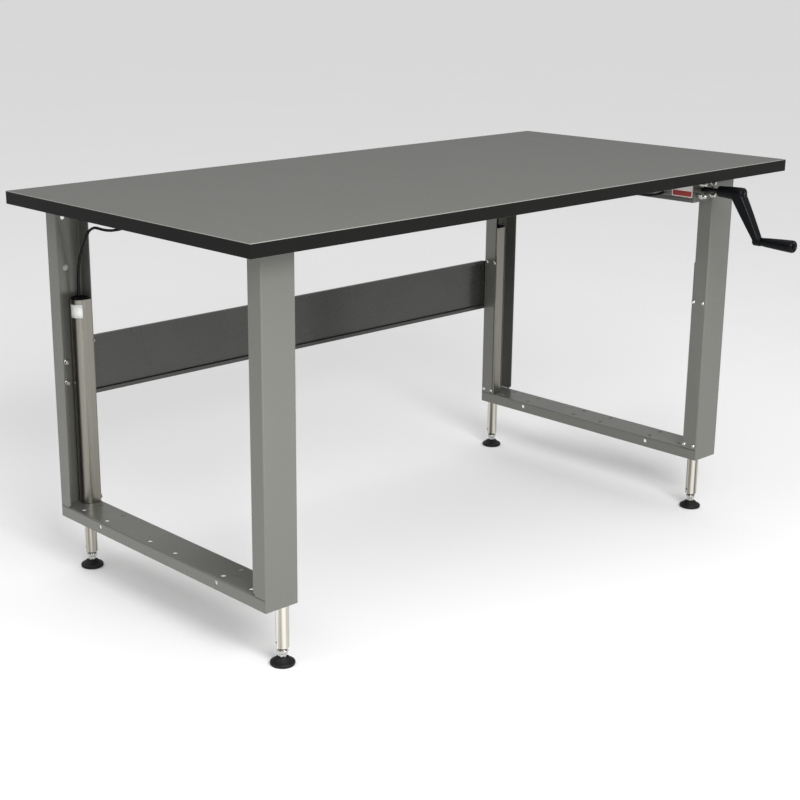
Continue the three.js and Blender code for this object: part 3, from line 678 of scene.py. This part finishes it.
def chrome_finish():
    color = (0.50, 0.46, 0.38)
    material, shader = start_material("hard_chrome", color, 0.12, metallic=1)
    # Painted reflection: long vertical bands from dark to bright in the base colour stand in for the
    # surroundings mirrored down the chromed rod.
    painted_reflection_streaks = noise(material, 85, 2, stretch=(1, 1, 0.01))
    tint(material, shader, painted_reflection_streaks, (0.17, 0.15, 0.11), (0.86, 0.83, 0.76), 0.4, 0.62)
    gloss(material, shader, noise(material, 900, 3, stretch=(1, 1, 0.02)), 0.09, 0.2)
    relief(material, shader, noise(material, 1800, 2, stretch=(0.02, 0.02, 1)), 0.00001)
    return material


def applied(obj):
    """Works an object's modifiers into its mesh."""
    depsgraph = bpy.context.evaluated_depsgraph_get()
    mesh = bpy.data.meshes.new_from_object(obj.evaluated_get(depsgraph))
    obj.modifiers.clear()
    obj.data = mesh
    return obj


def drilled(bm, at, along, radius, depth):
    """A round hole cut through a mesh."""
    block_mesh, drill_mesh = bpy.data.meshes.new("blank"), bpy.data.meshes.new("drill")
    bm.to_mesh(block_mesh)
    bm.free()
    drill_bm = turned([(0, -depth), (radius, -depth), (radius, depth), (0, depth)], 32)
    placed(drill_bm, at, along)
    drill_bm.to_mesh(drill_mesh)
    drill_bm.free()
    blank = bpy.data.objects.new("blank", block_mesh)
    drill = bpy.data.objects.new("drill", drill_mesh)
    for obj in (blank, drill):
        scene.collection.objects.link(obj)
    cut = blank.modifiers.new("hole", "BOOLEAN")
    cut.object = drill
    cut.solver = "EXACT"
    applied(blank)
    out = bmesh.new()
    out.from_mesh(blank.data)
    for obj in (blank, drill):
        bpy.data.objects.remove(obj)
    return out


chrome = chrome_finish()
for end, side in corners:
    corner = f"{end}_{side}"
    low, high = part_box(f"lift_rod_{corner}")
    x, y = (low[0] + high[0]) / 2, (low[1] + high[1]) / 2
    piston = (high[0] - low[0]) / 2
    tip, top = low[2], high[2]
    piston_bottom = top - 25 * MM
    thread, oil_bore = 6.3 * MM, 6 * MM
    rod = turned(
        [
            (0, tip + 40 * MM),
            (thread, tip + 40 * MM),
            (thread, tip + 0.6 * MM),
            (thread + 0.6 * MM, tip),
            (8.3 * MM, tip),
            (8.7 * MM, tip + 0.3 * MM),
            (rod_radius - 0.5 * MM, tip + 4.6 * MM),
            (rod_radius, tip + 5.6 * MM),
            (rod_radius, piston_bottom),
            (piston - 0.6 * MM, piston_bottom),
            (piston, piston_bottom + 0.6 * MM),
            (piston, top - 16 * MM),
            (piston - 1.6 * MM, top - 16 * MM),
            (piston - 1.6 * MM, top - 10 * MM),
            (piston, top - 10 * MM),
            (piston, top - 0.6 * MM),
            (piston - 0.6 * MM, top),
            (oil_bore, top),
            (oil_bore, tip + 70 * MM),
            (0, tip + 70 * MM),
        ],
        64,
    )
    rod = drilled(rod, (0, 0, tip + 15.5 * MM), (1, -0.35, 0), 2.3 * MM, 20 * MM)
    placed(rod, (x, y, 0))
    piece(f"lift_rod_piece_{corner}", rod, f"rod_{corner}", chrome, [f"lift_rod_{corner}"])


# ---- levelling feet -------------------------------------------------------------------------------
# A zinc-plated stud screws up into each rod and is held by a lock nut. Its lower end is moulded into
# a black pad with a domed top.

thread_pitch = 1.75 * MM
thread_depth = 0.55 * MM


def rubber_finish():
    color = (0.0065, 0.007, 0.007)
    material, shader = start_material("black_rubber", color, 0.5)
    shader.inputs["Specular IOR Level"].default_value = 0.25
    tint(material, shader, noise(material, 260, 4), *shades(color, 0.3))
    gloss(material, shader, noise(material, 70, 3), 0.44, 0.6)
    relief(material, shader, noise(material, 1200, 3), 0.00008)
    return material


rubber = rubber_finish()
for end, side in corners:
    corner = f"{end}_{side}"
    low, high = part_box(f"lock_nut_{corner}")
    x, y = (low[0] + high[0]) / 2, (low[1] + high[1]) / 2
    half = 9.5 * MM
    bore = 6.3 * MM
    nut = turned(
        [
            (bore, low[2] + 0.8 * MM),
            (bore + 0.9 * MM, low[2]),
            (half - 0.3 * MM, low[2]),
            (half, low[2] + 0.9 * MM, 6),
            (half, high[2] - 0.9 * MM, 6),
            (half - 0.3 * MM, high[2]),
            (bore + 0.9 * MM, high[2]),
            (bore, high[2] - 0.8 * MM),
            (bore, low[2] + 0.8 * MM),
        ]
    )
    placed(nut, (x, y, 0))
    piece(f"lock_nut_piece_{corner}", nut, f"rod_{corner}", zinc, [f"lock_nut_{corner}"])

    stud_low, stud_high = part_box(f"foot_stud_{corner}")
    pad_low, pad_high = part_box(f"foot_pad_{corner}")
    shank = 6 * MM
    collar_low, collar_high = pad_high[2] + 0.3 * MM, pad_high[2] + 6.9 * MM
    stud_profile = [
        (0, stud_low[2]),
        (shank - 1.5 * MM, stud_low[2]),
        (shank, stud_low[2] + 1.6 * MM),
        (shank, collar_low),
        (7.2 * MM, collar_low),
        (7.5 * MM, collar_low + 0.6 * MM, 6),
        (7.5 * MM, collar_high - 0.6 * MM, 6),
        (7.2 * MM, collar_high),
        (shank, collar_high),
    ]
    z = collar_high + 0.8 * MM
    while z < stud_high[2] - 2 * MM:
        stud_profile += [(shank, z), (shank - thread_depth, z + thread_pitch / 2)]
        z += thread_pitch
    stud_profile += [(shank - 1.5 * MM, stud_high[2]), (0, stud_high[2])]
    stud = placed(turned(stud_profile), (x, y, 0))
    piece(f"foot_stud_piece_{corner}", stud, f"foot_{corner}", zinc, [f"foot_stud_{corner}"])

    pad_radius = (pad_high[0] - pad_low[0]) / 2
    pad_top = pad_high[2]
    pad = turned(
        [
            (0, 1.2 * MM),
            (pad_radius * 0.72, 1.2 * MM),
            (pad_radius * 0.76, 0),
            (pad_radius * 0.95, 0),
            (pad_radius, 1.6 * MM),
            (pad_radius, 5.4 * MM),
            (pad_radius - 0.9 * MM, 6.8 * MM),
            (pad_radius - 3.4 * MM, 7.8 * MM),
            (pad_radius - 6.5 * MM, 9.6 * MM),
            (pad_radius - 10 * MM, 13.2 * MM),
            (pad_radius - 12.4 * MM, pad_top - 1 * MM),
            (pad_radius - 13.6 * MM, pad_top),
            (shank + 0.3 * MM, pad_top),
            (shank + 0.3 * MM, pad_top - 8.5 * MM),
            (0, pad_top - 8.5 * MM),
        ],
        64,
    )
    placed(pad, (x, y, pad_low[2]))
    piece(f"foot_pad_piece_{corner}", pad, f"foot_{corner}", rubber, [f"foot_pad_{corner}"])


# ---- pump -----------------------------------------------------------------------------------------
# A machined aluminium block with four chambers, hung under the worktop in a folded tray. A crosshead
# on the spindle drives a plunger into each chamber. Bright plugs close the chambers' front ends.

tray_grey = powder_coat("tray_powder_coat", (0.085, 0.085, 0.076), roughness=0.34)
finish_node("pump_tray", tray_grey)


def machined_finish():
    color = (0.24, 0.24, 0.22)
    material, shader = start_material("machined_aluminium", color, 0.34, metallic=1)
    mill = noise(material, 900, 2, stretch=(0.05, 1, 1))
    tint(material, shader, mill, *shades(color, 0.12))
    gloss(material, shader, noise(material, 40, 3), 0.28, 0.42)
    relief(material, shader, mill, 0.00003)
    return material


finish_node("pump_block", machined_finish())
finish_node("pump_crosshead", zinc)

for i in range(1, 5):
    low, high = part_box(f"bleed_plug_{i}")
    x, z = (low[0] + high[0]) / 2, (low[2] + high[2]) / 2
    seat = high[1] - 8.1 * MM
    length = seat - low[1]
    plug = turned(
        [
            (0, 0),
            (3.4 * MM, 0),
            (4.3 * MM, 0.9 * MM),
            (4.3 * MM, length - 15 * MM),
            (3.3 * MM, length - 15 * MM),
            (3.3 * MM, length - 14 * MM),
            (5.2 * MM, length - 14 * MM),
            (5.5 * MM, length - 13.2 * MM, 6),
            (5.5 * MM, length - 0.8 * MM, 6),
            (5.2 * MM, length),
            (3.6 * MM, length),
            (3.6 * MM, high[1] - low[1]),
            (0, high[1] - low[1]),
        ]
    )
    placed(plug, (x, low[1], z), (0, 1, 0))
    piece(f"bleed_plug_piece_{i}", plug, "frame", zinc, [f"bleed_plug_{i}"])

# Two plain stickers on the block's left side: a white field and the red band across it.
block_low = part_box("pump_block")[0]


def sticker_finish(name, color):
    material, shader = start_material(name, color, 0.35)
    tint(material, shader, noise(material, 90, 3), *shades(color, 0.06))
    relief(material, shader, noise(material, 700, 2), 0.00002)
    return material


def side_sticker(name, front, back, bottom, top, lift, material):
    """A rounded rectangle of film on the block's left side."""
    bm = bmesh.new()
    rounding, turns = 1.2 * MM, 4
    outline = []
    for y, z, start in (
        (back - rounding, top - rounding, 0),
        (front + rounding, top - rounding, 90),
        (front + rounding, bottom + rounding, 180),
        (back - rounding, bottom + rounding, 270),
    ):
        for i in range(turns + 1):
            angle = math.radians(start + 90 * i / turns)
            x = block_low[0] - lift
            at = (x, y + rounding * math.cos(angle), z + rounding * math.sin(angle))
            outline.append(bm.verts.new(at))
    face = bm.faces.new(outline)
    thick = bmesh.ops.extrude_face_region(bm, geom=[face])
    moved = [v for v in thick["geom"] if isinstance(v, bmesh.types.BMVert)]
    bmesh.ops.translate(bm, verts=moved, vec=(lift * 0.8, 0, 0))
    bmesh.ops.recalc_face_normals(bm, faces=bm.faces)
    return piece(name, bm, "frame", material)


sticker_front, sticker_back = block_low[1] + 2 * MM, block_low[1] + 56 * MM
sticker_bottom, sticker_top = block_low[2] + 8 * MM, block_low[2] + 46 * MM
side_sticker(
    "pump_sticker_white",
    sticker_front,
    sticker_back,
    sticker_bottom,
    sticker_top,
    0.15 * MM,
    sticker_finish("white_film", (0.75, 0.74, 0.71)),
)
side_sticker(
    "pump_sticker_red",
    sticker_front + 2.5 * MM,
    sticker_back - 2.5 * MM,
    sticker_bottom + 2 * MM,
    sticker_bottom + 13 * MM,
    0.3 * MM,
    sticker_finish("red_film", (0.36, 0.022, 0.012)),
)

tray_low, tray_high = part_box("pump_tray")
tray_screws = []
for y in (tray_low[1] + 8 * MM, tray_high[1] - 8 * MM):
    for x in (tray_low[0] + 12 * MM, tray_high[0] - 12 * MM):
        head = button_head(4.2 * MM, 2.4 * MM, 1.5 * MM)
        tray_screws.append(placed(head, (x, y, tray_high[2] - leg_sheet), (0, 0, -1)))
piece("tray_screws", together(tray_screws), "frame", zinc)


# ---- spindle and crank ------------------------------------------------------------------------------
# The spindle is bright steel with a hexagon front end. The crank is one black nylon moulding pushed on
# to the hexagon and held by a screw, with a grip that turns on a pin.


def dark_steel_finish():
    color = (0.035, 0.035, 0.035)
    material, shader = start_material("oiled_steel", color, 0.3, metallic=0.9)
    tint(material, shader, noise(material, 300, 3), *shades(color, 0.2))
    relief(material, shader, noise(material, 1500, 2), 0.00003)
    return material


finish_node("pump_spindle", dark_steel_finish())

arm_low, arm_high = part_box("crank_arm")
screw_low, screw_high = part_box("crank_screw")
grip_low, grip_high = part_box("crank_grip")
axis_x = (arm_low[0] + arm_high[0]) / 2
axis_z = (screw_low[2] + screw_high[2]) / 2
grip_z = (grip_low[2] + grip_high[2]) / 2
hub_radius = (arm_high[0] - arm_low[0]) / 2
hub_inner = arm_high[1]
hub_length = 64 * MM
arm_lean = 58 * MM  # how far the arm's end stands out beyond its root
arm_root_half, arm_tip_half = 17 * MM, 9 * MM  # half the arm's thickness
hub_outer = hub_inner - hub_length
arm_root_y = hub_outer + arm_root_half
arm_tip_y = arm_root_y - arm_lean


def crank_shape():
    """The hub and the arm as one body, melted together as a moulding is."""
    hub = turned(
        [
            (0, 0),
            (11 * MM, 0),
            (11.8 * MM, 1 * MM),
            (12.3 * MM, 16 * MM),
            (hub_radius - 0.9 * MM, 30 * MM),
            (hub_radius - 0.3 * MM, 52 * MM),
            (hub_radius - 0.3 * MM, 59 * MM),
            (hub_radius - 1.2 * MM, 62 * MM),
            (hub_radius - 3.2 * MM, 63.7 * MM),
            (0, 63.7 * MM),
        ],
        64,
    )
    placed(hub, (axis_x, hub_inner, axis_z), (0, -1, 0))
    arm = bmesh.new()
    ring_steps = 40
    levels = 14
    rings = []
    for level in range(levels + 1):
        down = level / levels
        swell = math.sin(math.pi * min(1, down * 1.15)) * 1.2 * MM
        half_x = (hub_radius - 0.5 * MM) * (1 - down) + 9.6 * MM * down
        half_y = 16.6 * MM * (1 - down) + 9 * MM * down + swell * 0.6
        y = arm_root_y + (arm_tip_y - arm_root_y) * down
        z = axis_z + (grip_z - axis_z) * down
        ring = []
        for i in range(ring_steps):
            angle = 2 * math.pi * i / ring_steps
            c, s = math.cos(angle), math.sin(angle)
            square = (abs(c) ** 4.5 + abs(s) ** 4.5) ** (-1 / 4.5)
            ring.append(arm.verts.new((axis_x + half_x * c * square, y + half_y * s * square, z)))
        rings.append(ring)
    for low, high in zip(rings, rings[1:]):
        for i in range(ring_steps):
            j = (i + 1) % ring_steps
            arm.faces.new((low[i], low[j], high[j], high[i]))
    arm.faces.new(rings[0])
    arm.faces.new(rings[-1])
    bmesh.ops.recalc_face_normals(arm, faces=arm.faces)
    eye = turned(
        [
            (0, 0),
            (8.8 * MM, 0),
            (9.8 * MM, 1.2 * MM),
            (9.8 * MM, 16.8 * MM),
            (8.8 * MM, 18 * MM),
            (0, 18 * MM),
        ]
    )
    placed(eye, (axis_x, arm_tip_y + arm_tip_half, grip_z), (0, -1, 0))
    return together([hub, arm, eye])


crank = piece("crank_moulding", crank_shape(), "crank", black_plastic, ["crank_arm"])
melt = crank.modifiers.new("melt", "REMESH")
melt.mode = "VOXEL"
melt.voxel_size = 0.9 * MM
melt.use_smooth_shade = True
fillet = crank.modifiers.new("fillet", "SMOOTH")
fillet.factor = 0.5
fillet.iterations = 5
applied(crank)

hub_screw = turned(
    [
        (0, 0),
        (2.2 * MM, 0),
        (2.2 * MM, 20.3 * MM),
        (5.6 * MM, 20.3 * MM),
        (6 * MM, 20.8 * MM),
        (5.8 * MM, 22.2 * MM),
        (5.2 * MM, 22.7 * MM),
        (3.2 * MM, 22.7 * MM),
        (2.4 * MM, 22.3 * MM, 6),
        (2.4 * MM, 21.2 * MM, 6),
        (0, 21 * MM),
    ]
)
placed(hub_screw, (axis_x, screw_high[1], axis_z), (0, -1, 0))
piece("crank_screw_piece", hub_screw, "crank", dark_steel_finish(), ["crank_screw"])

# The rim moulded round the end of the hub.
rim = turned(
    [
        (8.4 * MM, 0),
        (9.8 * MM, 0),
        (9.8 * MM, 0.9 * MM),
        (9.3 * MM, 1.3 * MM),
        (8.8 * MM, 1.3 * MM),
        (8.4 * MM, 0.9 * MM),
        (8.4 * MM, 0),
    ]
)
placed(rim, (axis_x, hub_outer + 0.9 * MM, axis_z), (0, -1, 0))
piece("crank_rim", rim, "crank", black_plastic)

grip_length = grip_high[1] - grip_low[1]
grip_radius = (grip_high[0] - grip_low[0]) / 2
grip_bore = 4.3 * MM
grip = turned(
    [
        (grip_bore, 0),
        (7 * MM, 0),
        (8 * MM, 0.7 * MM),
        (9 * MM, 4 * MM),
        (10.1 * MM, grip_length * 0.2),
        (11.3 * MM, grip_length * 0.45),
        (12.4 * MM, grip_length * 0.7),
        (grip_radius, grip_length * 0.9),
        (grip_radius, grip_length - 3.4 * MM),
        (grip_radius - 0.8 * MM, grip_length - 1.2 * MM),
        (grip_radius - 2.2 * MM, grip_length),
        (8 * MM, grip_length),
        (7.4 * MM, grip_length - 0.5 * MM),
        (grip_bore, grip_length - 0.5 * MM),
        (grip_bore, 0),
    ],
    64,
)
placed(grip, (axis_x, grip_high[1], grip_z), (0, -1, 0))
piece("crank_grip_piece", grip, "grip", black_plastic, ["crank_grip"], sharp=40)

pin_low, pin_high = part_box("grip_pin")
pin_length = pin_high[1] - pin_low[1]
pin = turned(
    [
        (0, 0),
        (3.6 * MM, 0),
        (4 * MM, 0.5 * MM),
        (4 * MM, pin_length - 2.4 * MM),
        (5.7 * MM, pin_length - 2.4 * MM),
        (6 * MM, pin_length - 2 * MM),
        (5.6 * MM, pin_length - 0.6 * MM),
        (4.4 * MM, pin_length),
        (0, pin_length),
    ]
)
placed(pin, (axis_x, pin_high[1], grip_z), (0, -1, 0))
piece("grip_pin_piece", pin, "crank", black_plastic_finish("pin_cap", 0.4), ["grip_pin"])


# ---- hoses --------------------------------------------------------------------------------------
# Nylon hydraulic hose from the pump to each cylinder. Saddle clips hold the two long ones up
# against the worktop.

hose_black = rubber_finish()
hose_black.name = "hose_nylon"
for end, side in corners:
    name = f"hose_{end}_{side}"
    finish_node(name, hose_black)
    hose = nodes[name]
    hose_weld = hose.modifiers.new("joined_faces", "WELD")
    hose_weld.merge_threshold = 0.002 * MM
    round_hose = hose.modifiers.new("round", "SUBSURF")
    round_hose.levels = 1
    round_hose.render_levels = 1
    for polygon in hose.data.polygons:
        polygon.use_smooth = True

clip_y = (middle_y + 70 * MM, middle_y + 86 * MM)  # the two long hoses
clip_places = (-0.38, -0.15, 0.08, 0.27)  # along the desk
hose_drop = 8 * MM  # worktop's underside to a hose's middle
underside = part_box("worktop_backer")[0][2]
clips = []
for x in clip_places:
    clip = bmesh.new()
    strap_steps = 12
    half_width, gap = 4 * MM, 0.2 * MM
    path = [(clip_y[0] - 13 * MM, 0), (clip_y[0] - 4.2 * MM, 0)]
    for centre in clip_y:
        for i in range(strap_steps + 1):
            angle = math.pi + math.pi * i / strap_steps
            reach = 3.9 * MM
            path.append((centre + reach * math.cos(angle), hose_drop + reach * -math.sin(angle)))
    path += [(clip_y[1] + 4.2 * MM, 0), (clip_y[1] + 13 * MM, 0)]
    rows = []
    for y, drop in path:
        z = underside - max(drop, 0) - gap - 0.4 * MM
        rows.append([clip.verts.new((x + s * half_width, y, z)) for s in (-1, 1)])
    for low, high in zip(rows, rows[1:]):
        clip.faces.new((low[0], low[1], high[1], high[0]))
    bmesh.ops.recalc_face_normals(clip, faces=clip.faces)
    clips.append(clip)
clip_piece = piece("hose_clips", together(clips), "frame", black_plastic)
clip_sheet = clip_piece.modifiers.new("strap", "SOLIDIFY")
clip_sheet.thickness = 0.8 * MM
clip_sheet.offset = 0
